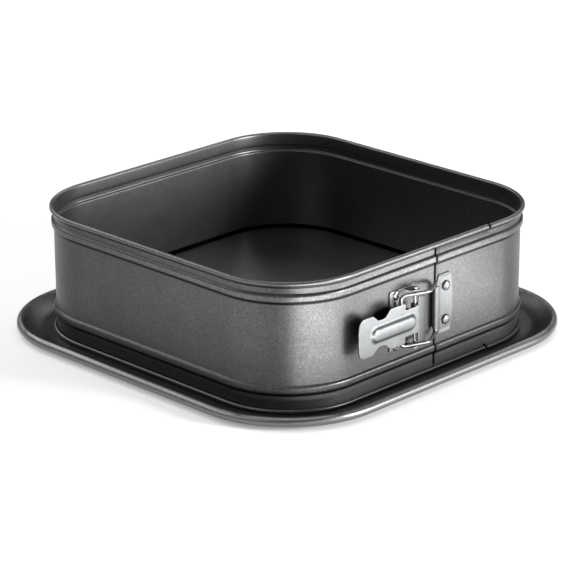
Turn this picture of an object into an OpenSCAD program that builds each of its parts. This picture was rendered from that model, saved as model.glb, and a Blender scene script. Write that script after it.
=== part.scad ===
// Square springform pan: a pressed base plate, a sheet band that stands in the
// base plate's trough, and an over-centre lever latch that closes the band.
// +Z is up, the origin is the bottom centre and the latch is on the -Y side.
// All lengths are in millimetres.

/* [Pan] */
// Half of the band's width across its flat walls
pan_half = 117; // [105:0.5:130]
// Outer corner radius of the band
pan_corner = 50.4; // [40:0.1:60]
// Thickness of the band's sheet
band_t = 0.5; // [0.4:0.05:0.7]
// Height of the middle of the rim bead
rim_z = 80.7; // [76:0.1:90]
// Outer radius of the rim bead
rim_r = 1.5; // [1.3:0.1:2]
// Height of the middle of the bottom curl
curl_z = 2.1; // [2:0.1:3]
// Outer radius of the bottom curl
curl_r = 1.2; // [0.9:0.05:1.3]

/* [Ridges] */
// Lower edge of the upper ridge
upper_ridge_z = 69.3; // [66:0.1:71]
// Lower edge of the lower ridge
lower_ridge_z = 12.8; // [11:0.1:14]
// Height of both ridges
ridge_h = 4.7; // [4:0.1:6]
// How far the ridges stand proud of the wall
ridge_proud = 1.5; // [1:0.1:2]

/* [Overlap] */
// Place of the seam: the free edge of the hook end
seam_x = 6.4; // [4:0.1:8]
// End of the tongue that runs on behind the hook end
tongue_x = 53; // [40:1:58]
// Gap between the two layers
layer_gap = 0.05; // [0.05:0.01:0.1]
// Where the band flexes, measured forward from the pan's middle along the right wall
flex_y = 40; // [20:1:60]

/* [Base] */
// Thickness of the base plate's sheet
base_t = 0.6; // [0.5:0.05:0.8]
// Height of the platform's top face
platform_z = 15.7; // [14:0.1:17]
// Gap between the platform's edge and the band's inner face
platform_gap = 0.4; // [0.3:0.05:0.6]
// Half of the base plate's overall width
base_half = 139.9; // [135:0.1:145]
// Corner radius of the base plate
base_corner = 67.5; // [62:0.1:72]
// Outer radius of the base plate's edge bead
edge_r = 3; // [1.2:0.1:3.4]
// Height of the middle of the edge bead
edge_z = 4.9; // [4:0.1:8]

/* [Latch] */
// Height of the middle of the latch
latch_z = 42.1; // [38:0.1:46]
// Thickness of the plates of the latch
plate_t = 0.8; // [0.7:0.05:1]
// Sideways place of the lever's pivot
pivot_x = -17; // [-18:0.1:-16]
// Distance of the lever's pivot from the wall
pivot_off = 5.4; // [5.3:0.05:5.5]
// Radius of the lever's pin
pin_r = 1; // [0.9:0.05:1.1]
// Radial running clearance of the lever on its pin
pin_clear = 0.05; // [0.03:0.01:0.1]

/* [Lever] */
// Free end of the lever
lever_end_x = -68.5; // [-72:0.5:-62]
// Distance of the middle of the lever's sheet from the wall
lever_off = 8; // [7.9:0.05:8.2]
// Thickness of the lever's sheet
lever_t = 0.9; // [0.8:0.05:1]
// Half height of the grip at the free end
grip_half = 12.2; // [11:0.1:13]
// Half height of the waist
waist_half = 8.3; // [7:0.1:9]
// Half height of the nose
nose_half = 14.2; // [13:0.1:14.3]

/* [Bail] */
// Radius of the bail's wire
wire_r = 1.1; // [0.9:0.05:1.1]
// Half of the distance between the bail's two side wires
bail_half = 16; // [15.8:0.1:16.2]
// Sideways place of the crossbar behind the lever
bar_x = -28; // [-29:0.1:-27]
// Distance of that crossbar from the wall
bar_off = 4; // [3.8:0.05:4.2]
// Sideways place of the crown of the side wires
crown_x = -9.7; // [-10.5:0.1:-9]
// Distance of the crown from the wall
crown_off = 10.6; // [10.4:0.1:11]

/* [Hook] */
// Sideways place of the roll that holds the bail
hook_x = 4.6; // [4:0.1:5]
// Radius of the middle of the roll's sheet
roll_r = 1.6; // [1.55:0.05:1.7]
// Half length of the roll
roll_half = 13.3; // [12.5:0.1:13.4]
// Left edge of the riveted plate
hook_plate_x = 8.5; // [8:0.1:9.5]
// Width of the riveted plate
hook_plate_w = 12.6; // [12:0.1:14]
// Half height of the riveted plate
hook_plate_half = 18.7; // [18:0.1:20]

/* [Hidden] */
$fn = 48;

coated_steel = [0.30, 0.30, 0.31];
plated_steel = [0.78, 0.79, 0.80];

corner_at = pan_half - pan_corner;          // centre of the band's corner arcs
wall_mid = pan_half - band_t / 2;           // middle of the band's sheet
layer_step = band_t + layer_gap;            // how far the hook end lies outside the tongue
nest = 0.5;                                 // room for one ridge to nest inside the other
base_corner_at = base_half - base_corner;   // centre of the base plate's corner arcs
trough_end = pan_half + 5;                  // end of the flat part of the trough
flange_start = pan_half + 2;                // the flange's sheet starts inside the trough

wall_y = -pan_half;                         // outer face of the front wall
hook_wall_y = wall_y - layer_step;          // outer face of the hook end
pivot_y = wall_y - pivot_off;
lever_y = wall_y - lever_off;
bar_y = wall_y - bar_off;
crown_y = wall_y - crown_off;
hook_y = hook_wall_y - plate_t / 2 - roll_r;

rivet_r = 1.5;                              // rivet shank
head_r = 3.1;                               // rivet head
head_h = 1.3;                               // height of a rivet head's dome
tail_r = 2.4;                               // flattened tail of a through rivet
tail_t = 0.5;
hook_rivet_dz = 10.8;                       // rivets from the latch's middle
hook_rivet_x = hook_plate_x + hook_plate_w / 2 + 0.5;
bracket_rivet_dz = 16;
bracket_rivet_x = -28.4;

bracket_x = -34;                            // left edge of the bracket
bracket_web_x = -21;                        // right edge of the web between its arms
bracket_end_x = -13.6;                      // right end of the arms
bracket_half = 18.9;
arm_inner = 15;                             // inner edge of the arms
ear_z = 18;                                 // middle of the pin ears
ear_off = 7.6;                              // reach of the ears from the wall

// ---- plane geometry ----

function arc(c, r, a0, a1, n) =
    [for (i = [0:n]) let (a = a0 + (a1 - a0) * i / n) [c[0] + r * cos(a), c[1] + r * sin(a)]];

function unit(v) = v / norm(v);
function turned(v) = [-v[1], v[0]];

// Normal of the path p at point i, lengthened at a corner so that the sheet keeps its thickness
function mitre(p, i) =
    let (before = turned(unit(p[max(i, 1)] - p[max(i, 1) - 1])),
         last = len(p) - 1,
         after = turned(unit(p[min(i, last - 1) + 1] - p[min(i, last - 1)])))
    (before + after) / (1 + before * after);

// Outline of a sheet of thickness t whose middle follows the path p
function sheet(p, t) =
    concat([for (i = [0:len(p) - 1]) p[i] + mitre(p, i) * t / 2],
           [for (i = [len(p) - 1:-1:0]) p[i] - mitre(p, i) * t / 2]);

// Path with its corner at b rounded to radius r
function fillet(a, b, c, r, n = 4) =
    let (u = unit(a - b), v = unit(c - b),
         half = acos(u * v) / 2,
         m = b + unit(u + v) * r / sin(half),
         s = b + u * r / tan(half),
         e = b + v * r / tan(half),
         a0 = atan2(s[1] - m[1], s[0] - m[0]),
         a1 = atan2(e[1] - m[1], e[0] - m[0]),
         turn = (a1 - a0 + 540) % 360 - 180)
    arc(m, r, a0, a0 + turn, n);

// ---- section of the band, x outward from the pan's middle and y up ----

// A ridge whose lower edge is at z, with each flank moved in by the amount narrow
function ridge(z, narrow = 0) =
    let (foot = wall_mid, top = wall_mid + ridge_proud,
         high = z + ridge_h - narrow, low = z + narrow)
    [[foot, high + 0.3], [top - 0.3, high - 0.6], [top, high - 1.2],
     [top, low + 1], [top - 0.3, low + 0.4], [foot, low]];

function ridges(narrow = 0) =
    concat(ridge(upper_ridge_z, narrow), ridge(lower_ridge_z, narrow));
rim_mid = rim_r - band_t / 2;
curl_mid = curl_r - band_t / 2;
rim_path = arc([wall_mid + rim_mid, rim_z], rim_mid, -110, 180, 12);
curl_path = arc([wall_mid + curl_mid, curl_z], curl_mid, 180, 450, 11);
band_section = sheet(concat(rim_path, ridges(), curl_path), band_t);
// The tongue's narrower ridges nest inside the ridges of the hook end
tongue_section = sheet(concat(rim_path, ridges(nest), curl_path), band_t);
// The hook end is trimmed between the tongue's two beads
lap_section = sheet(concat([[wall_mid, rim_z - rim_r - 0.4]], ridges(),
                           [[wall_mid, curl_z + curl_r + 1.2]]), band_t);

// ---- sections of the base plate ----

platform_edge = pan_half - band_t - platform_gap - base_t / 2;
platform_mid = platform_z - base_t / 2;
trough_mid = base_t / 2;
platform_path = concat(
    [[corner_at, platform_mid]],
    fillet([corner_at, platform_mid], [platform_edge, platform_mid], [platform_edge, 0], 1.6),
    fillet([platform_edge, platform_mid], [platform_edge, trough_mid], [trough_end, trough_mid], 1.1),
    [[trough_end, trough_mid]]);

edge_mid = edge_r - base_t / 2;
edge_x = base_half - edge_r;
flange_foot = trough_end + 0.5;             // where the flange begins to rise
flange_top = edge_z + edge_mid;             // the sheet runs over the top of the bead
flange_run = edge_x - flange_foot;
function flange_z(s) = trough_mid + (flange_top - trough_mid) * pow(s, 1.7);
flange_path = concat(
    [[flange_start, trough_mid]],
    [for (i = [0:8]) [flange_foot + flange_run * i / 9, flange_z(i / 9)]],
    arc([edge_x, edge_z], edge_mid, 90, -160, 10));

// ---- rounded-square rings ----

// Stretch of the +X side from y0 to y1
module straight(section, y0, y1)
    translate([0, y1, 0]) rotate([90, 0, 0]) linear_extrude(y1 - y0) polygon(section);

// Corner between the +X and the +Y side, with its centre at [at_x, at_y]
module corner(section, at_x, at_y)
    translate([at_x, at_y, 0]) rotate_extrude(angle = 90) translate([-at_x, 0]) polygon(section);

module ring(section, at)
    for (side = [0:3]) rotate(90 * side) {
        straight(section, -at, at);
        corner(section, at, at);
    }

// A cylinder along Y through the front wall
module wall_bore(x, z, r, y0, y1)
    translate([x, y1, z]) rotate([90, 0, 0]) cylinder(h = y1 - y0, r = r);

// ---- pieces ----

module base_plate() color(coated_steel) {
    ring(sheet(platform_path, base_t), corner_at);
    translate([-corner_at, -corner_at, platform_z - base_t])
        cube([2 * corner_at, 2 * corner_at, base_t]);
    ring(sheet(flange_path, base_t), base_corner_at);
}

module band_lever_end() color(coated_steel) difference() {
    union() {
        straight(band_section, flex_y, corner_at);
        corner(band_section, corner_at, corner_at);
        rotate(90) straight(band_section, -corner_at, corner_at);
        rotate(90) corner(band_section, corner_at, corner_at);
        rotate(180) straight(band_section, -corner_at, corner_at);
        rotate(180) corner(band_section, corner_at, corner_at);
        rotate(270) straight(band_section, -corner_at, seam_x);
        rotate(270) straight(tongue_section, seam_x, tongue_x);
    }
    for (side = [-1, 1])
        wall_bore(bracket_rivet_x, latch_z + side * bracket_rivet_dz, rivet_r,
                  wall_y - 1, wall_y + 1);
}

module band_hook_end() color(coated_steel) difference() {
    union() {
        straight(band_section, -corner_at - layer_step, flex_y - 0.1);
        translate([0, -layer_step, 0]) {
            rotate(270) corner(band_section, corner_at, corner_at);
            rotate(270) straight(band_section, tongue_x + 1, corner_at);
            rotate(270) straight(lap_section, seam_x, tongue_x + 1);
        }
    }
    for (side = [-1, 1])
        wall_bore(hook_rivet_x, latch_z + side * hook_rivet_dz, rivet_r,
                  hook_wall_y - 1, hook_wall_y + 1);
}

// Plate of the front wall: a rectangle with clipped corners, drawn in X and Z
module wall_plate(x0, x1, half, y, clip)
    translate([0, y, latch_z]) rotate([90, 0, 0]) linear_extrude(plate_t)
        polygon([[x0 + clip, -half], [x1 - clip, -half], [x1, clip - half], [x1, half - clip],
                 [x1 - clip, half], [x0 + clip, half], [x0, half - clip], [x0, clip - half]]);

module bracket() color(plated_steel) difference() {
    union() {
        difference() {
            wall_plate(bracket_x, bracket_end_x, bracket_half, wall_y, 1.2);
            translate([bracket_web_x, wall_y - 2, latch_z - arm_inner])
                cube([20, 4, 2 * arm_inner]);
        }
        for (side = [-1, 1])
            translate([bracket_web_x, wall_y - ear_off, latch_z + side * ear_z - plate_t / 2])
                cube([bracket_end_x - 1.2 - bracket_web_x, ear_off - plate_t / 2, plate_t]);
    }
    for (side = [-1, 1])
        wall_bore(bracket_rivet_x, latch_z + side * bracket_rivet_dz, rivet_r,
                  wall_y - 3, wall_y + 1);
    translate([pivot_x, pivot_y, latch_z - 25]) cylinder(h = 50, r = pin_r);
}

// Round-headed rivet along Y: the head's flat side is at y, the shank runs to y_end
module rivet(x, z, y, y_end, tail)
    translate([x, y, z]) rotate([90, 0, 0]) {
        rotate_extrude() polygon(concat(
            [[0, 0]], [[head_r, 0]],
            [for (a = [15:15:75]) [head_r * cos(a), head_h * sin(a)]], [[0, head_h]]));
        translate([0, 0, y - y_end]) cylinder(h = y_end - y, r = rivet_r);
        if (tail) translate([0, 0, y - y_end - tail_t]) cylinder(h = tail_t, r = tail_r);
    }

module bracket_rivet(side) color(plated_steel)
    rivet(bracket_rivet_x, latch_z + side * bracket_rivet_dz, wall_y - plate_t,
          wall_y + band_t, true);

module hook_rivet(side) color(plated_steel)
    rivet(hook_rivet_x, latch_z + side * hook_rivet_dz, hook_wall_y - plate_t,
          hook_wall_y + band_t, false);

module lever_pin() color(plated_steel) translate([pivot_x, pivot_y, latch_z]) {
    translate([0, 0, -19.2]) cylinder(h = 38.4, r = pin_r);
    for (side = [-1, 1])
        translate([0, 0, side * 18.9 - 0.4]) cylinder(h = 0.8, r = pin_r + 0.6);
}

// Upper half of the lever's outline, from the free end to the nose
lever_half_outline = concat(
    [[lever_end_x, 0], [lever_end_x + 0.6, grip_half - 6]],
    fillet([lever_end_x + 0.6, 0], [lever_end_x + 1.2, grip_half], [-57, grip_half], 4.5),
    fillet([lever_end_x, grip_half], [-56.6, grip_half], [-51.5, waist_half], 2),
    fillet([-56.6, grip_half], [-52, waist_half], [-46, waist_half], 3),
    fillet([-52, waist_half], [-45.5, waist_half + 0.4], [-41, grip_half + 0.5], 3),
    fillet([-45, waist_half], [-41.5, grip_half + 0.5], [-30, grip_half + 0.5], 2),
    [[-29.5, grip_half + 0.5], [-28.4, grip_half - 0.6], [-28.4, waist_half], [pivot_x + 0.4, waist_half]]);

function mirrored(p) = [for (i = [len(p) - 1:-1:1]) [p[i][0], -p[i][1]]];

// The nose kicks outward beyond the bend over the pin
nose_path = [[pivot_x - 0.6, lever_y], [pivot_x + 0.6, lever_y], [pivot_x + 1.6, lever_y - 0.3],
             [pivot_x + 4.4, lever_y - 1.9]];
rib_half = 5;
rib_h = 1.7;
rib_x0 = -53.5;
rib_x1 = -24.5;
barrel_r = 2.45;
lug_z = 7.4;                                // lugs behind the neck that hold the crossbar
notch_x0 = bar_x - 1.4 - wire_r - 0.3;      // the notch leaves room for the bar's travel
notch_x1 = bar_x + 2.1 + wire_r + 0.3;
notch_y = bar_y - wire_r - 0.6;
lug_edge = 1.3;                             // sheet left on each side of the notch
lug_end_y = bar_y + wire_r + 0.2;

module lever() color(plated_steel) difference() {
    union() {
        translate([0, lever_y + lever_t / 2, latch_z]) rotate([90, 0, 0])
            linear_extrude(lever_t) polygon(concat(lever_half_outline, mirrored(lever_half_outline)));
        translate([0, 0, latch_z - nose_half]) linear_extrude(2 * nose_half)
            polygon(sheet(nose_path, lever_t));
        translate([0, lever_y, latch_z]) rotate([90, 0, 0]) linear_extrude(rib_h)
            polygon(concat(arc([rib_x0, 0], rib_half, 90, 270, 12),
                           arc([rib_x1, 0], rib_half, -90, 90, 12)));
        translate([pivot_x, pivot_y, latch_z - 9]) cylinder(h = 18, r = barrel_r);
        for (side = [-1, 1])
            translate([notch_x0 - lug_edge, lever_y, latch_z + side * lug_z - plate_t / 2])
                cube([notch_x1 - notch_x0 + 2 * lug_edge, lug_end_y - lever_y, plate_t]);
    }
    translate([pivot_x, pivot_y, latch_z - 20]) cylinder(h = 40, r = pin_r + pin_clear);
    translate([notch_x0, notch_y, latch_z - 20]) cube([notch_x1 - notch_x0, 5, 40]);
}

// ---- the bail, bent from one wire ----

bend_r = wire_r - 0.05;                     // the bends are a hair thinner than the runs,
lap = 0.2;                                  // which reach this far over their ends

// Straight run of wire along +Z, what follows starts at its end
module run(length) {
    translate([0, 0, -lap]) cylinder(h = length + 2 * lap, r = wire_r);
    translate([0, 0, length]) children();
}

// Bend towards +X, what follows starts at its end
module bend(r, angle) {
    translate([r, 0, 0]) rotate([90, 0, 180]) rotate_extrude(angle = angle)
        translate([r, 0]) circle(bend_r);
    translate([r, 0, 0]) rotate([0, angle, 0]) translate([-r, 0, 0]) children();
}

end_bend = 3;                               // bend radius at the crossbars' ends
crown_bend = 5;                             // bend radius at the crown
rise = [crown_x - bar_x, crown_y - bar_y];
fall = [hook_x - crown_x, hook_y - crown_y];
rise_angle = atan2(rise[1], rise[0]);
fall_angle = atan2(fall[1], fall[0]);
crown_turn = fall_angle - rise_angle;
crown_cut = crown_bend * tan(crown_turn / 2);

bar_run = 2 * (bail_half - end_bend);       // straight part of a crossbar

// Side of the bail over its crown, from the end of one crossbar to the end of the other
module bail_side(first, last)
    bend(end_bend, 90) run(norm(first) - end_bend - crown_cut)
    rotate(90) bend(crown_bend, crown_turn) rotate(-90)
    run(norm(last) - crown_cut - end_bend) bend(end_bend, 90) children();

module bail() color(plated_steel)
    translate([bar_x, bar_y, latch_z - bar_run / 2]) rotate(rise_angle)
        run(bar_run) bail_side(rise, fall) run(bar_run) bail_side(fall, rise);

roll_path = concat([[hook_plate_x + 2, hook_wall_y - plate_t / 2]],
                   arc([hook_x, hook_y], roll_r, 90, 340, 14));

module hook_plate() color(plated_steel) difference() {
    union() {
        wall_plate(hook_plate_x, hook_plate_x + hook_plate_w, hook_plate_half, hook_wall_y, 1.4);
        translate([0, 0, latch_z - roll_half]) linear_extrude(2 * roll_half)
            polygon(sheet(roll_path, plate_t));
    }
    for (side = [-1, 1])
        wall_bore(hook_rivet_x, latch_z + side * hook_rivet_dz, rivet_r,
                  hook_wall_y - 3, hook_wall_y + 1);
}

base_plate();
band_lever_end();
band_hook_end();
bracket();
bracket_rivet(1);  // bracket_rivet_upper
bracket_rivet(-1);  // bracket_rivet_lower
lever_pin();
lever();
bail();
hook_plate();
hook_rivet(1);  // hook_rivet_upper
hook_rivet(-1);  // hook_rivet_lower
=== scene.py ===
import math

import bmesh
import bpy
import numpy as np
from mathutils import Matrix, Vector
from mathutils.geometry import delaunay_2d_cdt


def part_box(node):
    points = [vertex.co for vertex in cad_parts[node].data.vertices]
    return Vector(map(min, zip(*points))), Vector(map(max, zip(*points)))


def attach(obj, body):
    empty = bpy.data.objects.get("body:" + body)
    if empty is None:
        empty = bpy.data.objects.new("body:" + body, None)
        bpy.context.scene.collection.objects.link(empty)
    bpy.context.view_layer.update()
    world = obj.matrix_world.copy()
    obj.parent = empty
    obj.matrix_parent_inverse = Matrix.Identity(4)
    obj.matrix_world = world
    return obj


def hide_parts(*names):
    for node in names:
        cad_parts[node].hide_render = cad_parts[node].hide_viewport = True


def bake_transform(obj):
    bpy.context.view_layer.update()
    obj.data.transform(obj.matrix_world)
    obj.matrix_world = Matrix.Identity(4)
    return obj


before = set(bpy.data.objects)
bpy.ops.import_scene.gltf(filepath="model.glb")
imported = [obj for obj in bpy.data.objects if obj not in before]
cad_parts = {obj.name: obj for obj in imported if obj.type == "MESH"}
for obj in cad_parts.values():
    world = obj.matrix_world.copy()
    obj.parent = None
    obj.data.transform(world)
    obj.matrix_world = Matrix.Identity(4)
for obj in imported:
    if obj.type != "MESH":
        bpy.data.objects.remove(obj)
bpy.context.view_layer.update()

# A springform pan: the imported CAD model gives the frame, and each pressed, rolled or
# bent piece is rebuilt here as a finer mesh on the same body. Lengths in the helper
# calls are millimetres in the CAD frame; MM turns them into metres.
MM = 0.001


# ---------------------------------------------------------------- camera

CAMERA_TURN = (-45.458, 20.369, -0.145)          # yaw, pitch and roll in degrees
CAMERA_TARGET = Vector((-0.0283, -0.02867, 0.0395))
CAMERA_DISTANCE = 1.611
CAMERA_LENS, CAMERA_SENSOR = 164.95, 36


def add_camera():
    yaw, pitch, roll = (math.radians(a) for a in CAMERA_TURN)
    back = Vector((math.sin(yaw) * math.cos(pitch), -math.cos(yaw) * math.cos(pitch),
                   math.sin(pitch)))
    right = Vector((math.cos(yaw), math.sin(yaw), 0))
    up = back.cross(right)
    right, up = (right * math.cos(roll) + up * math.sin(roll),
                 up * math.cos(roll) - right * math.sin(roll))
    data = bpy.data.cameras.new("camera")
    data.lens = CAMERA_LENS
    data.sensor_width = CAMERA_SENSOR
    data.clip_end = 20
    camera = bpy.data.objects.new("camera", data)
    turn = Matrix((right, up, back)).transposed().to_4x4()
    camera.matrix_world = Matrix.Translation(CAMERA_TARGET + back * CAMERA_DISTANCE) @ turn
    bpy.context.scene.collection.objects.link(camera)
    bpy.context.scene.camera = camera


add_camera()


# ---------------------------------------------------------------- dimensions

def mm_box(node):
    lo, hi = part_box(node)
    return lo / MM, hi / MM


band_lo, band_hi = mm_box("band_lever_end")
base_lo, base_hi = mm_box("base_plate")
lever_lo, lever_hi = mm_box("lever")
hook_hi = mm_box("hook_plate")[1]

BAND_T = 0.5
BEAD_R = 1.5                                  # rim bead
CURL_R = 1.2                                  # bottom curl of the band
PAN_HALF = -band_lo.x - 2 * BEAD_R + BAND_T   # outer face of the wall
WALL = PAN_HALF - BAND_T / 2                  # middle of the sheet
CORNER_AT = PAN_HALF - 50.4                   # centre of the band's corner arcs
RIM_Z = band_hi.z - BEAD_R
CURL_Z = band_lo.z + CURL_R
RIDGES = (69.3, 12.8)                         # lower edges of the two ridges
RIDGE_H = 4.7
RIDGE_OUT = 1.5
STEP = BAND_T + 0.05                          # the hook end lies this far outside
NEST = 0.5                                    # the tongue's ridges are this much narrower
SPRING = 0.3                                  # the hook end's edge stands off by this much
RIM_SHADE_DEPTH = 2.7                                  # the painted shadow under the rim ends this far below it
SEAM_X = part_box("band_hook_end")[0].x / MM     # the seam, where the hook end stops
TONGUE_X = 53.0                               # end of the tongue
FLEX_FROM, FLEX_TO = 62.0, 2.0                # stretch of the right wall that flexes

BASE_T = 0.6
BASE_HALF = base_hi.x
EDGE_R = 3.0                                  # bead round the base plate
EDGE_X = BASE_HALF - EDGE_R
EDGE_Z = 4.9                                  # middle of that bead
BASE_CORNER_AT = BASE_HALF - 67.5
PLATFORM_Z = base_hi.z
PLATFORM_EDGE = PAN_HALF - BAND_T - 0.4

LATCH_Z = (lever_lo.z + lever_hi.z) / 2
PLATE_T = 0.8                                 # sheet of the bracket, hook plate and lugs
LEVER_T = 0.9
LEVER_Y = -125.0                              # middle of the lever's sheet
BRACKET_X = -28.4                             # the bracket's rivets
BRACKET_RIVET_Z = 16.0                        # above and below the latch's middle
HOOK_RIVET = (15.3, 10.8)
ROLL = (4.6, -119.55)                         # middle of the hook plate's roll
EAR_Z = 18.0                                  # the bracket's ears, above and below
FRONT_Y = -117.0                              # outer face of the front wall


# ---------------------------------------------------------------- plane geometry

def arc(cx, cy, r, a0, a1, n):
    return [(cx + r * math.cos(math.radians(a0 + (a1 - a0) * i / n)),
             cy + r * math.sin(math.radians(a0 + (a1 - a0) * i / n))) for i in range(n + 1)]


def rounded(points, radii, n=5, closed=False):
    """The polyline with its corners rounded, each to its own radius."""
    points = [Vector(p) for p in points]
    out = []
    count = len(points)
    for i, b in enumerate(points):
        r = radii[i] if isinstance(radii, (list, tuple)) else radii
        if (not closed and i in (0, count - 1)) or r <= 0:
            out.append(b.copy())
            continue
        a, c = points[i - 1], points[(i + 1) % count]
        u, v = (a - b).normalized(), (c - b).normalized()
        half = math.acos(max(-1, min(1, u.dot(v)))) / 2
        if half > math.pi / 2 - 1e-4:
            out.append(b.copy())
            continue
        centre = b + (u + v).normalized() * (r / math.sin(half))
        start, end = b + u * (r / math.tan(half)), b + v * (r / math.tan(half))
        p, q = start - centre, end - centre
        sweep = p.angle(q)
        for k in range(n + 1):
            t = k / n
            out.append(centre + (p * math.sin((1 - t) * sweep) + q * math.sin(t * sweep))
                       / math.sin(sweep))
    return out


def offsets(path):
    """Unit normals of an open plane path, on the left of its direction."""
    p = np.array([(v[0], v[1]) for v in path], float)
    d = np.diff(p, axis=0)
    d /= np.linalg.norm(d, axis=1)[:, None]
    n = np.stack([-d[:, 1], d[:, 0]], 1)
    first, last = np.vstack([n[:1], n]), np.vstack([n, n[-1:]])
    m = first + last
    m /= (1 + (first * last).sum(1))[:, None]
    return p, m


# ---------------------------------------------------------------- meshes

def mesh_object(name, verts, faces, material, body, nodes, sharp=35, wear_and_painted_shade=None, weld=0.0,
                inner=None):
    """A piece from vertices in millimetres, riding on a body and standing for CAD nodes.

    The wear values are above 0 where the finish is worn and below 0 where shade is painted in; the
    inner values are painted light that lightens it.
    """
    bm = bmesh.new()
    layer, painted_light_layer = bm.verts.layers.float.new("wear_and_painted_shade"), bm.verts.layers.float.new("inner")
    made = []
    for i, v in enumerate(verts):
        bv = bm.verts.new((v[0] * MM, v[1] * MM, v[2] * MM))
        bv[layer] = float(wear_and_painted_shade[i]) if wear_and_painted_shade is not None else 0.0
        bv[painted_light_layer] = float(inner[i]) if inner is not None else 0.0
        made.append(bv)
    for f in faces:
        if len(set(f)) == len(f):
            try:
                bm.faces.new([made[k] for k in f])
            except ValueError:
                pass
    if weld:
        bmesh.ops.remove_doubles(bm, verts=bm.verts[:], dist=weld * MM)
    loose = [v for v in bm.verts if not v.link_faces]
    bmesh.ops.delete(bm, geom=loose, context="VERTS")
    bmesh.ops.recalc_face_normals(bm, faces=bm.faces[:])
    return from_bmesh(name, bm, material, body, nodes, sharp)


def from_bmesh(name, bm, material, body, nodes, sharp=35):
    mesh = bpy.data.meshes.new(name)
    bm.to_mesh(mesh)
    bm.free()
    mesh.polygons.foreach_set("use_smooth", [True] * len(mesh.polygons))
    mesh.set_sharp_from_angle(angle=math.radians(sharp))
    mesh.materials.append(material)
    obj = bpy.data.objects.new(name, mesh)
    bpy.context.scene.collection.objects.link(obj)
    if body:
        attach(obj, body)
    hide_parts(*nodes)
    return obj


def skin(rings, closed_ring):
    """Faces between rings of equal length, given as lists of vertex numbers."""
    faces = []
    for a, b in zip(rings, rings[1:]):
        n = len(a)
        for i in range(n if closed_ring else n - 1):
            j = (i + 1) % n
            faces.append((a[i], a[j], b[j], b[i]))
    return faces


# ---------------------------------------------------------------- materials

class Nodes:
    """Short way to write a node tree."""

    def __init__(self, name, colour):
        self.mat = bpy.data.materials.new(name)
        self.mat.use_nodes = True
        self.mat.diffuse_color = (*colour, 1)
        self.tree = self.mat.node_tree
        self.tree.nodes.clear()
        self.out = self.add("ShaderNodeOutputMaterial")
        self.bsdf = self.add("ShaderNodeBsdfPrincipled")
        self.link(self.bsdf, "BSDF", self.out, "Surface")
        self.coord = self.add("ShaderNodeTexCoord")

    def add(self, kind, **values):
        node = self.tree.nodes.new(kind)
        for key, value in values.items():
            setattr(node, key, value)
        return node

    def link(self, a, out, b, socket):
        self.tree.links.new(a.outputs[out], b.inputs[socket])

    def mapped(self, scale):
        node = self.add("ShaderNodeMapping")
        node.inputs["Scale"].default_value = scale
        self.link(self.coord, "Object", node, "Vector")
        return node

    def noise(self, size, detail=2.0, rough=0.5, stretch=(1, 1, 1)):
        """Noise whose features are about size millimetres, longer along a small stretch."""
        node = self.add("ShaderNodeTexNoise")
        node.inputs["Scale"].default_value = 1.0
        node.inputs["Detail"].default_value = detail
        node.inputs["Roughness"].default_value = rough
        k = 1 / (size * MM)
        self.link(self.mapped([k * s for s in stretch]), "Vector", node, "Vector")
        return node

    def cells(self, size):
        node = self.add("ShaderNodeTexVoronoi")
        node.inputs["Scale"].default_value = 1 / (size * MM)
        self.link(self.coord, "Object", node, "Vector")
        return node

    def ramp(self, source, out, lo, hi, to_lo=0.0, to_hi=1.0):
        node = self.add("ShaderNodeMapRange")
        limits = {"From Min": lo, "From Max": hi, "To Min": to_lo, "To Max": to_hi}
        for key, value in limits.items():
            node.inputs[key].default_value = value
        self.link(source, out, node, "Value")
        return node

    def math(self, operation, a, b=None):
        node = self.add("ShaderNodeMath", operation=operation)
        for k, x in enumerate((a, b)):
            if isinstance(x, (int, float)):
                node.inputs[k].default_value = x
            elif x is not None:
                self.tree.links.new(x.outputs[0], node.inputs[k])
        return node

    def mix(self, factor, a, b):
        node = self.add("ShaderNodeMix", data_type="RGBA")
        self.tree.links.new(factor.outputs[0], node.inputs["Factor"])
        for key, x in (("A", a), ("B", b)):
            socket = [s for s in node.inputs if s.name == key and s.type == "RGBA"][0]
            if isinstance(x, tuple):
                socket.default_value = (*x, 1)
            else:
                self.tree.links.new([s for s in x.outputs if s.type == "RGBA"][0], socket)
        return node

    def use(self, node, socket):
        kind = "RGBA" if socket == "Base Color" else "VALUE"
        out = [s for s in node.outputs if s.type == kind]
        self.tree.links.new(out[0], self.bsdf.inputs[socket])

    def bump(self, layers):
        """Stacked bump layers: (height node, its output, distance in millimetres, strength)."""
        last = None
        for node, out, distance, strength in layers:
            b = self.add("ShaderNodeBump")
            b.inputs["Strength"].default_value = strength
            b.inputs["Distance"].default_value = distance * MM
            self.link(node, out, b, "Height")
            if last:
                self.link(last, "Normal", b, "Normal")
            last = b
        self.link(last, "Normal", self.bsdf, "Normal")


COAT_DARK, COAT_FLECK = (0.064, 0.0635, 0.0635), (0.138, 0.137, 0.136)
# next line: a painted light colour, the worn coating's colour and a painted shade colour
COAT_LIT, COAT_WORN, COAT_PAINTED_SHADE = (0.85, 0.84, 0.83), (0.36, 0.35, 0.34), (0.006, 0.006, 0.006)
PLATE_TONE, WIRE_TONE = (0.18, 0.184, 0.187), (0.29, 0.295, 0.30)
# a painted shade colour for the plated pieces
PLATE_PAINTED_SHADE = (0.02, 0.02, 0.02)


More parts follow.
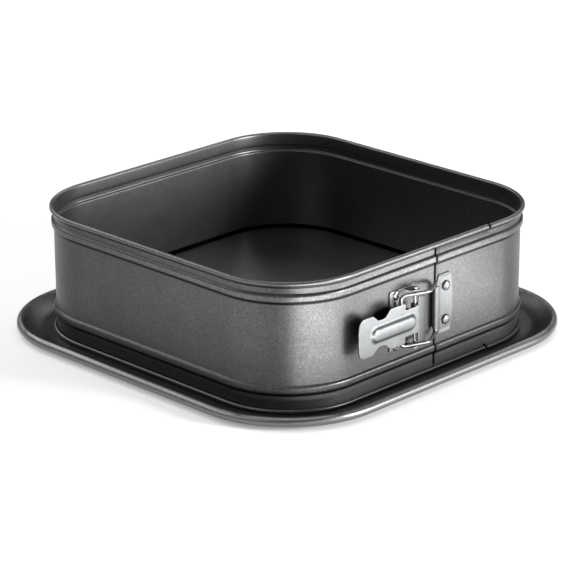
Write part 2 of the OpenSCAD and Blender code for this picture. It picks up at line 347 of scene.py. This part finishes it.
def coated_steel():
    """Grey non-stick coating: a dark satin film with fine metallic fleck, worn along the edges,
    with painted light and painted shade laid on from vertex attributes.
    """
    m = Nodes("coated_steel", (0.09, 0.09, 0.092))
    fine, coarse = m.cells(0.42), m.cells(0.85)
    flecks = m.math("ADD", m.ramp(fine, "Color", 0.45, 1.0, 0.0, 0.6),
                    m.ramp(coarse, "Color", 0.6, 1.0, 0.0, 0.4))
    broad = m.noise(38, 3.0)
    base = m.mix(flecks, COAT_DARK, COAT_FLECK)
    shade = m.mix(m.ramp(broad, "Fac", 0.3, 0.7), (0.90, 0.90, 0.90), (1.06, 1.06, 1.06))
    tinted = m.add("ShaderNodeMix", data_type="RGBA", blend_type="MULTIPLY")
    tinted.inputs["Factor"].default_value = 1.0
    colours = [s for s in tinted.inputs if s.type == "RGBA"]
    for node, socket in ((base, colours[0]), (shade, colours[1])):
        m.tree.links.new([s for s in node.outputs if s.type == "RGBA"][0], socket)
    wear_and_painted_shade = m.add("ShaderNodeAttribute", attribute_name="wear_and_painted_shade")
    patches = m.ramp(m.noise(2.2, 4.0, 0.65), "Fac", 0.42, 0.68)
    spread = m.math("ADD", m.math("MULTIPLY", patches, 0.55), 0.2)
    worn = m.math("MULTIPLY", m.ramp(wear_and_painted_shade, "Fac", 0.0, 1.0), spread)
    # painted light: the inner attribute lightens the colour towards light grey
    inner = m.add("ShaderNodeAttribute", attribute_name="inner")
    lit = m.mix(m.ramp(inner, "Fac", 0.0, 3.0, 0.0, 0.21), tinted, COAT_LIT)
    tone = m.mix(worn, lit, COAT_WORN)
    # painted shade: where the wear attribute is below 0 the colour turns nearly black
    m.use(m.mix(m.ramp(wear_and_painted_shade, "Fac", -0.1, -0.9), tone, COAT_PAINTED_SHADE), "Base Color")
    m.bsdf.inputs["Metallic"].default_value = 0.9
    smudge = m.ramp(m.noise(55, 4.0, 0.6, (1, 1, 1.6)), "Fac", 0.3, 0.7, 0.0, 0.05)
    grain = m.ramp(m.noise(0.9, 2.0), "Fac", 0.3, 0.7, 0.32, 0.40)
    rough = m.math("ADD", grain, smudge)
    m.use(m.math("SUBTRACT", rough, m.math("MULTIPLY", worn, 0.08)), "Roughness")
    m.bump([(m.noise(0.75, 3.0, 0.6), "Fac", 0.03, 0.3), (fine, "Distance", 0.02, 0.15),
            (m.noise(45, 2.0), "Fac", 0.5, 0.3)])
    return m.mat


def plated_steel(name, colour, rough, grain_stretch):
    """Zinc-plated steel: satin, faintly drawn along its length, with scuffs and duller patches,
    and painted shade where the wear attribute is below 0.
    """
    m = Nodes(name, colour)
    drawn = m.noise(0.35, 3.0, 0.6, grain_stretch)
    patch = m.noise(7, 4.0, 0.6)
    spots = m.noise(1.1, 4.0, 0.7)
    lines = m.noise(0.16, 2.0, 0.5, (0.05, 1, 1))
    scuff = m.math("MULTIPLY", m.ramp(lines, "Fac", 0.62, 0.7), m.ramp(patch, "Fac", 0.5, 0.62))
    dark = tuple(c * 0.84 for c in colour)
    tone = m.mix(m.ramp(patch, "Fac", 0.3, 0.7), dark, colour)
    tone = m.mix(m.ramp(spots, "Fac", 0.62, 0.78, 0.0, 0.5), tone, tuple(c * 0.62 for c in colour))
    edge = m.add("ShaderNodeNewGeometry")
    point = m.ramp(edge, "Pointiness", 0.52, 0.6)
    tone = m.mix(m.math("MULTIPLY", point, 0.6), tone, tuple(min(1, c * 1.18) for c in colour))
    # painted shade: where the wear attribute is below 0 the plate turns nearly black
    wear_and_painted_shade = m.add("ShaderNodeAttribute", attribute_name="wear_and_painted_shade")
    tone = m.mix(m.ramp(wear_and_painted_shade, "Fac", 0.0, -1.0, 0.0, 0.85), tone, PLATE_PAINTED_SHADE)
    m.use(tone, "Base Color")
    m.bsdf.inputs["Metallic"].default_value = 1.0
    base = m.ramp(drawn, "Fac", 0.3, 0.7, rough - 0.05, rough + 0.07)
    base = m.math("ADD", base, m.ramp(spots, "Fac", 0.5, 0.8, 0.0, 0.14))
    m.use(m.math("ADD", base, m.math("MULTIPLY", scuff, 0.18)), "Roughness")
    m.bump([(drawn, "Fac", 0.02, 0.35), (patch, "Fac", 0.12, 0.35), (scuff, "Value", 0.02, 0.4)])
    return m.mat


COATED = coated_steel()
PLATE = plated_steel("plated_plate", PLATE_TONE, 0.40, (0.12, 1, 1))
WIRE = plated_steel("plated_wire", WIRE_TONE, 0.30, (1, 1, 1))


# ---------------------------------------------------------------- the band

def ridge(z, narrow=0.0):
    top, high, low = WALL + RIDGE_OUT, z + RIDGE_H - narrow, z + narrow
    return [(WALL, high + 0.3), (top - 0.15, high - 0.75), (top, high - 1.3),
            (top, low + 1.1), (top - 0.15, low + 0.5), (WALL, low)]


def band_path(narrow=0.0, beads=True):
    """Middle of the band's sheet from the rim down to the bottom curl, with its wear and painted
    shade.

    Points just under the rim and under each ridge hold the painted shade there, dark bands
    standing in for shadow.
    """
    wall, radii = [(WALL, RIM_Z - RIM_SHADE_DEPTH), (WALL, RIM_Z - RIM_SHADE_DEPTH - 0.9)], [0, 0]
    for z in RIDGES:
        foot = z + narrow
        wall += ridge(z, narrow) + [(WALL, foot - 1.3), (WALL, foot - 2.1)]
        radii += [0.45, 0.5, 0.6, 0.6, 0.5, 0.35, 0, 0]
    rim, curl = BEAD_R - BAND_T / 2, CURL_R - BAND_T / 2
    if beads:
        first = arc(WALL + rim, RIM_Z, rim, -110, 180, 26)
        last = arc(WALL + curl, CURL_Z, curl, 180, 450, 20)
    else:
        first = [(WALL, RIM_Z - BEAD_R - 0.4)]
        wall, radii = wall[2:], radii[2:]
        last = [(WALL, CURL_Z + CURL_R + 1.2)]
    ends = [first[-1]] + wall + [last[0]]
    body = rounded(ends, [0] + radii + [0], 3)
    path = [Vector(p) for p in first[:-1]] + body + [Vector(p) for p in last[1:]]
    wear_and_painted_shade = []
    for p in path:
        amount = 0.0
        for z in RIDGES:
            if z - 0.2 < p[1] < z + RIDGE_H + 0.4:
                amount = 0.2 * max(0.0, min(1.0, (p[0] - WALL - 0.8) / 0.6))
            # painted shade just under each ridge
            if p[0] < WALL + 0.9 and -1.5 < p[1] - z - narrow < 0.6:
                amount = -1.0
        # painted shade just under the rim
        if p[0] < WALL + 0.1 and RIM_Z - RIM_SHADE_DEPTH - 0.1 < p[1] < RIM_Z - 0.1:
            amount = -0.9
        if p[1] > RIM_Z - 0.6:
            amount = 0.25 * max(0.0, min(1.0, (p[1] - RIM_Z + 0.6) / 1.6))
        if p[1] < CURL_Z:
            amount = 0.25
        wear_and_painted_shade.append(amount)
    return path, wear_and_painted_shade


def section(path):
    """Closed section of the sheet: out along its left side and back along its right."""
    p, n = offsets(path)
    return np.vstack([p + n * BAND_T / 2, (p - n * BAND_T / 2)[::-1]])


def station_straight(side, y):
    """A place on one of the four straight walls; side 0 is +X and each next is 90 degrees on."""
    a = math.radians(90 * side)
    c, s = math.cos(a), math.sin(a)
    return np.array([-s * y, c * y]), np.array([c, s])


def station_corner(side, angle):
    a = math.radians(90 * side)
    c, s = math.cos(a), math.sin(a)
    t = math.radians(angle)
    d = np.array([math.cos(t), math.sin(t)])
    o = np.array([CORNER_AT, CORNER_AT]) - d * CORNER_AT
    turn = np.array([[c, -s], [s, c]])
    return turn @ o, turn @ d


def sweep_band(name, stations, body, nodes):
    """stations: (origin, outward direction, section, wear and painted shade). Ends are closed.

    Painted light lightens the inside, most on the back wall, and the foot of the front wall's
    outer face too.
    """
    verts, wear_and_painted_shade_values, inner, rings = [], [], [], []
    for o, d, sec, wear_and_painted_shade in stations:
        start = len(verts)
        for (x, z), w in zip(sec, wear_and_painted_shade):
            verts.append((o[0] + d[0] * x, o[1] + d[1] * x, z))
            wear_and_painted_shade_values.append(w)
        half = len(sec) // 2
        # painted light on the foot of the front wall's outer face and on the whole inside
        front = max(0.0, -float(d[1]))
        inner += [1.3 * front * (z < RIDGES[1] + 0.5) for x, z in sec[:half]]
        back, right = max(0.0, float(d[1])), max(0.0, float(d[0]))
        inner += [0.8 + 1.3 * back - 0.4 * right] * (len(sec) - half)
        rings.append(list(range(start, len(verts))))
    faces = skin(rings, True)
    for ring in (rings[0], rings[-1]):
        n = len(ring)
        faces += [(ring[i], ring[i + 1], ring[n - 2 - i], ring[n - 1 - i])
                  for i in range(n // 2 - 1)]
    return mesh_object(name, verts, faces, COATED, body, nodes, 32, wear_and_painted_shade_values, 0.0, inner)


def with_section(stations, sec, wear_and_painted_shade):
    return [(o, d, sec, wear_and_painted_shade) for o, d in stations]


def both(path, wear_and_painted_shade):
    """Wear and painted shade of the outer face, then of the inner one, with painted shade in the
    lower groove.
    """
    inner = []
    for p, w in zip(path, wear_and_painted_shade):
        # painted shade on the inner face in the lower groove
        groove = RIDGES[1] - 0.5 < p[1] < RIDGES[1] + RIDGE_H - 0.4
        inner.append(-1.0 if groove else max(w, 0.0))
    return wear_and_painted_shade + inner[::-1]


full_path, full_wear_and_painted_shade = band_path()
FULL = section(full_path), both(full_path, full_wear_and_painted_shade)
narrow_path, narrow_wear_and_painted_shade = band_path(NEST)
NARROW = section(narrow_path), both(narrow_path, narrow_wear_and_painted_shade)
lap_path, lap_wear_and_painted_shade = band_path(0.0, False)
LAP = section(lap_path), both(lap_path, lap_wear_and_painted_shade)

CORNER_STEPS = 28
corner_angles = [90 * i / CORNER_STEPS for i in range(CORNER_STEPS + 1)]


def straights(side, values):
    return [station_straight(side, v) for v in values]


def corners(side):
    return [station_corner(side, a) for a in corner_angles[1:-1]]


def build_band():
    at = CORNER_AT
    main = straights(0, [FLEX_FROM, at]) + corners(0)
    for side in (1, 2):
        main += straights(side, [-at, -at / 3, at / 3, at]) + corners(side)
    main += straights(3, [-at, -at / 3, SEAM_X - 1.2])
    # painted shade: the outer face is painted dark along the seam, in place of the gap's shadow
    dark = [min(w, -0.8) if i < len(full_wear_and_painted_shade) else w for i, w in enumerate(FULL[1])]
    stations = with_section(main, *FULL) + with_section(
        straights(3, [SEAM_X - 0.7, SEAM_X]), FULL[0], dark) + with_section(
        straights(3, [SEAM_X + 0.4, TONGUE_X - 0.8]), *NARROW)
    sweep_band("band_wall", stations, "band", ["band_lever_end"])

    flex = straights(0, list(np.linspace(FLEX_TO, FLEX_FROM, 31)))
    piece = sweep_band("band_flex", with_section(flex, *FULL), None,
                       ["band_lever_end", "band_hook_end"])
    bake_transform(piece)

    shift = np.array([0, -STEP])
    front = [(o + shift, d) for o, d in
             straights(3, [TONGUE_X + 1, at]) + corners(3)]
    front += [(np.array([0, -at - STEP]), np.array([1.0, 0])), station_straight(0, FLEX_TO)]
    sweep_band("band_hook_wall", with_section(front, *FULL), "band_free_end", ["band_hook_end"])
    lap = []
    for x in (0.0, 0.5, 1.0, 1.6, 2.4, 3.4, 5.0, 8.0, TONGUE_X + 1 - SEAM_X):
        o, d = station_straight(3, SEAM_X + x)
        spring = SPRING * max(0.0, 1 - x / 5.0) ** 2
        lap.append((o + shift + d * spring, d))
    sweep_band("band_lap", with_section(lap, *LAP), "band_free_end", ["band_hook_end"])


build_band()


# ---------------------------------------------------------------- the base plate

def base_ring(half, centre, z, steps=24):
    """Rounded square of half width half, its corner arcs about (centre, centre)."""
    out = []
    for side in range(4):
        a = math.radians(90 * side)
        c, s = math.cos(a), math.sin(a)
        r = half - centre
        pts = [(half, y) for y in (-centre, -centre / 2, 0, centre / 2)]
        pts += [(centre + r * math.cos(t), centre + r * math.sin(t))
                for t in (math.radians(90 * i / steps) for i in range(steps))]
        out += [(c * x - s * y, s * x + c * y, z) for x, y in pts]
    return out


def build_base():
    top_mid, trough_mid = PLATFORM_Z - BASE_T / 2, BASE_T / 2
    edge_mid = EDGE_R - BASE_T / 2
    foot = PAN_HALF + 5.5
    run = EDGE_X - foot
    rise = EDGE_Z + edge_mid - trough_mid
    path = rounded([(60, top_mid), (PLATFORM_EDGE - BASE_T / 2, top_mid),
                    (PLATFORM_EDGE - BASE_T / 2, trough_mid), (foot, trough_mid)],
                   [0, 1.6, 1.1, 0], 6)
    path[1:1] = [Vector((x, top_mid)) for x in (80, 98, 110)]
    slope = [Vector((foot + run * i / 14, trough_mid + rise * (i / 14) ** 1.7))
             for i in range(1, 14)]
    bead = [Vector(p) for p in arc(EDGE_X, EDGE_Z, edge_mid, 90, -160, 30)]
    path += slope + bead
    p, n = offsets(path)
    verts, wear_and_painted_shade_values, rings_top, rings_low = [], [], [], []
    for i, (x, z) in enumerate(p):
        blend = max(0.0, min(1.0, (x - PAN_HALF - 0.5) / 5.0))
        centre = CORNER_AT + (BASE_CORNER_AT - CORNER_AT) * blend
        if x < CORNER_AT + 12:
            centre = x * CORNER_AT / (CORNER_AT + 12)
        wear_and_painted_shade = 0.0
        if x > EDGE_X - 1.0:
            wear_and_painted_shade = 0.3 * max(0.0, min(1.0, (z - EDGE_Z + 0.5) / 2.5))
        elif z > top_mid - 1.4:
            wear_and_painted_shade = 0.25 * max(0.0, min(1.0, (x - PLATFORM_EDGE + 3) / 2.5))
        for side, rings in ((1, rings_top), (-1, rings_low)):
            start = len(verts)
            h = x + side * n[i, 0] * BASE_T / 2
            verts += base_ring(h, centre, z + side * n[i, 1] * BASE_T / 2)
            wear_and_painted_shade_values += [wear_and_painted_shade if side > 0 else wear_and_painted_shade * 0.5] * (len(verts) - start)
            rings.append(list(range(start, len(verts))))
    faces = skin(rings_top, True) + skin(rings_low, True)
    faces += skin([rings_top[-1], rings_low[-1]], True)
    for rings, side in ((rings_top, 1), (rings_low, -1)):
        z = verts[rings[0][0]][2]
        last = rings[0]
        for scale in (0.7, 0.4, 0.12):
            start = len(verts)
            verts += [(verts[k][0] * scale, verts[k][1] * scale, z) for k in rings[0]]
            wear_and_painted_shade_values += [0.0] * len(last)
            ring = list(range(start, len(verts)))
            faces += skin([last, ring], True)
            last = ring
        faces.append(tuple(last))
    # painted light: the platform is painted a little lighter than the rest, and the bead much
    # lighter
    inner = [0.4 * (v[2] > PLATFORM_Z - 1.0) for v in verts]
    corner = BASE_CORNER_AT * (math.sqrt(2) - 1)
    for i, (x, y, _) in enumerate(verts):
        if max(abs(x), abs(y), math.hypot(x, y) - corner) > EDGE_X - 1.5:
            inner[i] = 2.2
    mesh_object("base_pressing", verts, faces, COATED, "base", ["base_plate"], 40,
                wear_and_painted_shade_values, 0.0, inner)


build_base()


# ---------------------------------------------------------------- sheet pieces of the latch

def resample(outline, step):
    out = []
    n = len(outline)
    for i in range(n):
        a, b = Vector(outline[i]), Vector(outline[(i + 1) % n])
        k = max(1, round((b - a).length / step))
        out += [a.lerp(b, j / k) for j in range(k)]
    return out


def inside(outline, x, y):
    hit = False
    n = len(outline)
    for i in range(n):
        (x0, y0), (x1, y1) = outline[i], outline[(i + 1) % n]
        if (y0 > y) != (y1 > y) and x < (x1 - x0) * (y - y0) / (y1 - y0) + x0:
            hit = not hit
    return hit


def sheet_bmesh(outline, thickness, place, height=None, grid=0.8, bevel=0.18, shade=None):
    """A sheet cut to a plane outline, embossed by height(u, v), then laid in space by
    place(u, v, w), w being the distance from the middle of the sheet; shade(u, v) darkens it with
    painted shade."""
    border = resample([tuple(p) for p in outline], grid)
    flat = [(p.x, p.y) for p in border]
    lo, hi = np.min(flat, axis=0), np.max(flat, axis=0)
    points = [Vector(p) for p in flat]
    near = np.array(flat)
    for i in range(1, int((hi[0] - lo[0]) / grid) + 1):
        for j in range(1, int((hi[1] - lo[1]) / grid) + 1):
            q = (lo[0] + i * grid - (grid / 2 if j % 2 else 0), lo[1] + j * grid)
            gap = np.min(np.hypot(near[:, 0] - q[0], near[:, 1] - q[1]))
            if inside(flat, *q) and gap > grid * 0.55:
                points.append(Vector(q))
    n = len(border)
    edges = [(i, (i + 1) % n) for i in range(n)]
    made, _, tris, *_ = delaunay_2d_cdt(points, edges, [], 1, 1e-6)
    bm = bmesh.new()
    layer = bm.verts.layers.float.new("wear_and_painted_shade")
    top, low = [], []
    for p in made:
        h = height(p.x, p.y) if height else 0.0
        top.append(bm.verts.new([c * MM for c in place(p.x, p.y, thickness / 2 + h)]))
        low.append(bm.verts.new([c * MM for c in place(p.x, p.y, -thickness / 2 + h)]))
        # painted shade, kept below 0 in the wear attribute
        top[-1][layer] = low[-1][layer] = -shade(p.x, p.y) if shade else 0.0
    count = {}
    for t in tris:
        bm.faces.new([top[k] for k in t])
        bm.faces.new([low[k] for k in reversed(t)])
        for a, b in zip(t, t[1:] + t[:1]):
            count[(a, b)] = True
    rim = [(a, b) for (a, b) in count if (b, a) not in count]
    for a, b in rim:
        bm.faces.new([top[b], top[a], low[a], low[b]])
    bmesh.ops.recalc_face_normals(bm, faces=bm.faces[:])
    if bevel:
        sharp = [e for e in bm.edges if len(e.link_faces) == 2
                 and e.calc_face_angle(0) > math.radians(60)
                 and (len(e.link_faces[0].verts) == 4) != (len(e.link_faces[1].verts) == 4)]
        bmesh.ops.bevel(bm, geom=sharp, offset=bevel * MM, segments=2, profile=0.5,
                        affect="EDGES", clamp_overlap=True)
    return bm


def along(path):
    """place() for a sheet bent along a plane path of (x, y); u is the length along it."""
    p, n = offsets(path)
    d = np.hypot(*np.diff(p, axis=0).T)
    s = np.concatenate([[0], np.cumsum(d)])
    n = n / np.linalg.norm(n, axis=1)[:, None]

    def place(u, v, w):
        x, y = np.interp(u, s, p[:, 0]), np.interp(u, s, p[:, 1])
        nx, ny = np.interp(u, s, n[:, 0]), np.interp(u, s, n[:, 1])
        k = math.hypot(nx, ny)
        return x - nx / k * w, y - ny / k * w, LATCH_Z + v
    return place, s[-1]


def build_lever():
    x0 = lever_lo.x
    path = rounded([(x0, LEVER_Y), (-16.7, LEVER_Y), (-12.6, -126.95)], [0, 2.4, 0], 8)
    place, length = along(path)
    nose_u = -17.3 - x0
    grip, neck, shoulder, nose = 12.2, 8.3, 12.7, 14.2     # half heights
    half = [(0.25, 0.0)]
    half += [tuple(p) for p in rounded(
        [(0.25, 0), (0.0, 3.0), (0.9, 12.4), (9.5, grip), (12.2, grip), (16.6, neck),
         (22.6, neck), (27.2, shoulder), (39.0, shoulder), (40.1, shoulder - 1.1), (40.1, neck),
         (nose_u, neck), (nose_u, nose), (length, nose), (length, 0)],
        [0, 3, 4.4, 0, 2.2, 3.4, 3.4, 2.2, 0.5, 0.5, 0.6, 0.6, 0.4, 0.5, 0], 5)][1:-1]
    half.append((length, 0.0))
    outline = half + [(u, -v) for u, v in reversed(half[1:-1])]
    rib0, rib1, rib_r, rib_h = -53.5 - x0, -24.5 - x0, 5.0, 1.6

    def emboss(u, v):
        d = math.hypot(u - min(max(u, rib0), rib1), v)
        t = max(0.0, min(1.0, (rib_r + 0.4 - d) / 2.4))
        crown = max(0.0, 1 - (d / (rib_r - 1.2)) ** 2) * (d < rib_r - 1.2)
        return rib_h * (t * t * (3 - 2 * t)) + 0.35 * crown

    # painted shade: the nose is painted darker, more so towards its end
    def nose_painted_shade(u, v):
        return 0.4 + 0.6 * (u - nose_u) / (length - nose_u) if u > nose_u + 0.1 else 0.0

    bm = sheet_bmesh(outline, LEVER_T, place, emboss, 0.62, 0.2, nose_painted_shade)
    from_bmesh("lever_plate", bm, PLATE, "lever_arm", ["lever"], 40)

    # the barrel that turns on the pin, and the two lugs behind the neck
    px, py = -17.0, -122.4
    prof = [(1.05, -9.0), (2.25, -9.0), (2.45, -8.8), (2.45, 8.8), (2.25, 9.0), (1.05, 9.0)]
    verts, rings = [], []
    for i in range(28):
        a = 2 * math.pi * i / 28
        rings.append(list(range(len(verts), len(verts) + len(prof))))
        verts += [(px + r * math.cos(a), py + r * math.sin(a), LATCH_Z + z) for r, z in prof]
    mesh_object("lever_barrel", verts, skin(rings + [rings[0]], True), PLATE, "lever_arm",
                ["lever"], 30)
    for side, word in ((1, "upper"), (-1, "lower")):
        lug = rounded([(-32.1, -125), (-32.1, -119.7), (-30.8, -119.7), (-30.8, -122.7),
                       (-24.5, -122.7), (-24.5, -119.7), (-23.2, -119.7), (-23.2, -125)],
                      [0, 0.5, 0.5, 0.6, 0.6, 0.5, 0.5, 0], 4, True)
        bm = sheet_bmesh(lug, PLATE_T, lambda u, v, w, s=side: (u, v, LATCH_Z + 7.4 * s + w),
                         None, 0.7, 0.12)
        from_bmesh("lever_lug_" + word, bm, PLATE, "lever_arm", ["lever"], 40)


build_lever()


def build_bracket():
    y = FRONT_Y - PLATE_T / 2
    x0, x1, web, half_h = -34.0, -13.6, -21.0, 18.9
    arm = 15                                               # inner edge of the arms
    outline = rounded([(x0, -half_h), (x1, -half_h), (x1, -arm), (web, -arm), (web, arm),
                       (x1, arm), (x1, half_h), (x0, half_h)],
                      [1.4, 1.0, 0.6, 1.0, 1.0, 0.6, 1.0, 1.4], 4, True)

    def swell(u, v):
        return 0.25 * math.exp(-((abs(v) - BRACKET_RIVET_Z) ** 2 + (u - BRACKET_X) ** 2) / 14)

    bm = sheet_bmesh(outline, PLATE_T, lambda u, v, w: (u, y - w, LATCH_Z + v), swell, 0.8, 0.15)
    from_bmesh("bracket_plate", bm, PLATE, "band", ["bracket"], 40)
    for side, word in ((1, "upper"), (-1, "lower")):
        tip = rounded([(-21.0, -117.4), (-20.6, -124.7), (-13.9, -124.7), (-14.8, -117.4)],
                      [0, 2.6, 2.6, 0], 7, True)
        bm = sheet_bmesh(tip, PLATE_T, lambda u, v, w, s=side: (u, v, LATCH_Z + EAR_Z * s + w),
                         None, 0.7, 0.12)
        from_bmesh("bracket_ear_" + word, bm, PLATE, "band", ["bracket"], 40)


build_bracket()


def build_hook():
    (x_hook, y_hook), r = ROLL, 1.6
    y = y_hook + r
    flat = [(hook_hi.x, y), (15, y), (9, y), (x_hook + 0.01, y)]
    roll = arc(x_hook, y_hook, r, 90, 340, 30)
    path = [Vector(p) for p in flat + roll[1:]]
    place_in, length = along(path)

    def place(u, v, w):
        return place_in(u, v, -w)
    neck = hook_hi.x - 8.5
    high, low = 18.7, 13.3
    bow = [(1.5 * (i / 8) ** 2.4, high * 0.92 * i / 8) for i in range(9)]
    half = [tuple(p) for p in rounded(
        bow + [(2.0, high), (neck, high), (neck + 1.4, low), (length, low), (length, 0)],
        [0] * 9 + [0.9, 1.7, 1.0, 0.3, 0], 4)]
    outline = half + [(u, -v) for u, v in reversed(half[1:-1])]

    def swell(u, v):
        edge = min(u, neck - u, high - abs(v))
        return 0.3 * max(0.0, min(1.0, edge / 2.2)) if u < neck else 0.0

    # painted shade: the whole hook plate is painted a little darker
    bm = sheet_bmesh(outline, PLATE_T, place, lambda u, v: -swell(u, v), 0.55, 0.15,
                     lambda u, v: 0.2)
    from_bmesh("hook_plate_rolled", bm, PLATE, "band_free_end", ["hook_plate"], 40)


build_hook()


# ---------------------------------------------------------------- wire and rivets

def tube(points, radius, sides=20):
    """Closed tube along a closed loop of points, with frames carried round the loop."""
    pts = [Vector(p) for p in points]
    n = len(pts)
    tangents = [(pts[(i + 1) % n] - pts[i - 1]).normalized() for i in range(n)]
    normal = tangents[0].orthogonal().normalized()
    frames = []
    for t in tangents:
        normal = (normal - t * normal.dot(t)).normalized()
        frames.append((normal.copy(), t.cross(normal)))
    last = (normal - tangents[0] * normal.dot(tangents[0])).normalized()
    twist = math.atan2(last.dot(frames[0][1]), last.dot(frames[0][0]))
    verts, rings = [], []
    for i, (p, (u, v)) in enumerate(zip(pts, frames)):
        rings.append(list(range(len(verts), len(verts) + sides)))
        for k in range(sides):
            a = 2 * math.pi * k / sides - twist * i / n
            verts.append(p + (u * math.cos(a) + v * math.sin(a)) * radius)
    return verts, skin(rings + [rings[0]], True)


def build_bail():
    r, half = 1.1, 16.0
    bar, crown = (-28.0, -121.0), (-9.7, -127.6)
    corners3 = [(*bar, -half), (*bar, half), (*crown, half), (*ROLL, half), (*ROLL, -half),
                (*crown, -half)]
    loop = rounded([(x, y, LATCH_Z + z) for x, y, z in corners3], [3, 3, 5, 3, 3, 5], 10, True)
    dense = []
    for i, p in enumerate(loop):
        q = loop[(i + 1) % len(loop)]
        k = max(1, round((q - p).length / 1.5))
        dense += [p.lerp(q, j / k) for j in range(k)]
    verts, faces = tube(dense, r)
    mesh_object("bail_wire_loop", verts, faces, WIRE, "bail_wire", ["bail"], 60)


build_bail()


def turned(name, profile, place, body, node, material, sides=36):
    """Revolved piece; profile is (radius, height) from the middle of the face to its rim."""
    verts, rings = [], []
    for i in range(sides):
        a = 2 * math.pi * i / sides
        rings.append(list(range(len(verts), len(verts) + len(profile))))
        verts += [place(r * math.cos(a), r * math.sin(a), h) for r, h in profile]
    mesh_object(name, verts, skin(rings + [rings[0]], False), material, body, [node],
 50, None, 0.001)


def build_rivets():
    wall, hook_wall = FRONT_Y, FRONT_Y - STEP
    dome = [(0.0, 1.3)] + [(3.1 * math.sin(t), 0.1 + 1.2 * math.cos(t))
                           for t in (math.radians(a) for a in range(10, 91, 8))] + [
        (3.1, 0.0), (1.5, 0.0)]
    hollow = [(0.0, 0.35), (0.75, 0.4), (1.05, 0.75), (1.2, 1.05), (1.5, 1.2), (1.9, 1.14),
              (2.4, 0.92), (2.8, 0.6), (3.05, 0.25), (3.1, 0.0), (1.5, 0.0)]
    for side, word in ((1, "upper"), (-1, "lower")):
        z, y = LATCH_Z + HOOK_RIVET[1] * side, hook_wall - PLATE_T - 0.3
        turned("hook_rivet_dome_" + word, dome + [(1.5, -1.2), (0, -1.2)],
               lambda a, b, h, y=y, z=z: (HOOK_RIVET[0] + a, y - h, z + b),
               "band_free_end", "hook_rivet_" + word,
               PLATE)
        z, y = LATCH_Z + BRACKET_RIVET_Z * side, wall - PLATE_T - 0.15
        turned("bracket_rivet_dome_" + word, hollow + [(1.5, -1.3), (0.0, -1.3)],
               lambda a, b, h, y=y, z=z: (BRACKET_X + a, y - h, z + b),
               "band", "bracket_rivet_" + word,
               WIRE)
        tail = [(0.0, 0.55), (0.5, 0.45), (0.9, 0.1), (1.3, 0.1), (1.6, 0.5), (2.2, 0.42),
                (2.4, 0.15), (2.4, 0.0), (0.0, 0.0)]
        turned("bracket_rivet_tail_" + word, tail,
               lambda a, b, h, z=z: (BRACKET_X + a, wall + BAND_T + h, z + b),
               "band", "bracket_rivet_" + word,
               WIRE)


build_rivets()

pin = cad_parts["lever_pin"]
pin.data.materials.clear()
pin.data.materials.append(WIRE)


# ---------------------------------------------------------------- floor and light

FLOOR_GLOW = 0.28          # the floor's own light, which keeps it white as in the photo
FLOOR_HALF = 6.0           # metres
WORLD_LIGHT = 0.03
CARD_Z = 0.003             # metres


def build_stage():
    m = Nodes("floor", (0.9, 0.9, 0.9))
    patches = m.ramp(m.noise(400, 2.0), "Fac", 0.3, 0.7)
    m.use(m.mix(patches, (0.86, 0.86, 0.86), (0.89, 0.89, 0.89)), "Base Color")
    m.bsdf.inputs["Roughness"].default_value = 0.9
    m.bsdf.inputs["Emission Color"].default_value = (1, 1, 1, 1)
    m.bsdf.inputs["Emission Strength"].default_value = FLOOR_GLOW
    m.bump([(m.noise(6, 3.0), "Fac", 0.1, 0.1)])
    bm = bmesh.new()
    bmesh.ops.create_grid(bm, x_segments=4, y_segments=4, size=FLOOR_HALF)
    mesh = bpy.data.meshes.new("floor")
    bm.to_mesh(mesh)
    bm.free()
    mesh.materials.append(m.mat)
    floor = bpy.data.objects.new("floor", mesh)
    floor.location = (0, 0, (base_lo.z - 0.02) * MM)
    bpy.context.scene.collection.objects.link(floor)


def add_area(name, place, turn, size, power):
    data = bpy.data.lights.new(name, "AREA")
    data.shape = "RECTANGLE"
    data.size, data.size_y = size
    data.energy = power
    light = bpy.data.objects.new(name, data)
    light.location = place
    light.rotation_euler = turn
    bpy.context.scene.collection.objects.link(light)
    return light


# Softboxes: azimuth of the place the light comes from (0 is -Y, 90 is +X), elevation,
# distance, size and power.
SOFTBOXES = {
    "key_strip": (22, 14, 1.5, (0.3, 0.5), 27.0),
    "right": (90, 38, 1.6, (1.0, 0.8), 3.0),
    "back_right": (120, 40, 1.6, (0.5, 0.5), 2.0),
    "back": (180, 38, 1.6, (1.0, 0.8), 7.0),
    "back_left": (225, 38, 1.6, (1.0, 0.8), 4.5),
    "left": (270, 38, 1.6, (1.0, 0.8), 3.5),
    "top": (0, 90, 1.9, (1.5, 1.5), 11.5),
}
# Bright cards that lie on the floor facing up, unseen by the camera: azimuth, distance,
# size and power.
CARDS = {
    "card_front": (-25, 0.47, (0.16, 0.5), 2.7),
    "card_middle": (-10, 0.47, (0.16, 0.5), 1.8),
    "card_near": (5, 0.47, (0.16, 0.5), 0.6),
    "card_right": (20, 0.47, (0.16, 0.5), 3.1),
    "card_left": (270, 0.47, (0.3, 0.5), 0.5),
}


def build_light():
    world = bpy.data.worlds.new("studio")
    world.use_nodes = True
    background = world.node_tree.nodes["Background"]
    background.inputs["Color"].default_value = (1, 1, 1, 1)
    background.inputs["Strength"].default_value = WORLD_LIGHT
    bpy.context.scene.world = world
    aim = Vector((0, 0, 0.04))
    for name, (azimuth, elevation, distance, size, power) in SOFTBOXES.items():
        a, e = math.radians(azimuth), math.radians(elevation)
        toward = Vector((math.sin(a) * math.cos(e), -math.cos(a) * math.cos(e), math.sin(e)))
        place = toward * distance
        add_area(name, place, (aim - place).to_track_quat("-Z", "Y").to_euler(), size, power)
    for name, (azimuth, distance, size, power) in CARDS.items():
        a = math.radians(azimuth)
        card = add_area(name, (distance * math.sin(a), -distance * math.cos(a), CARD_Z),
                        (math.pi, 0, a), size, power)
        card.visible_camera = False
    bpy.context.scene.view_settings.view_transform = "Standard"


build_stage()
build_light()
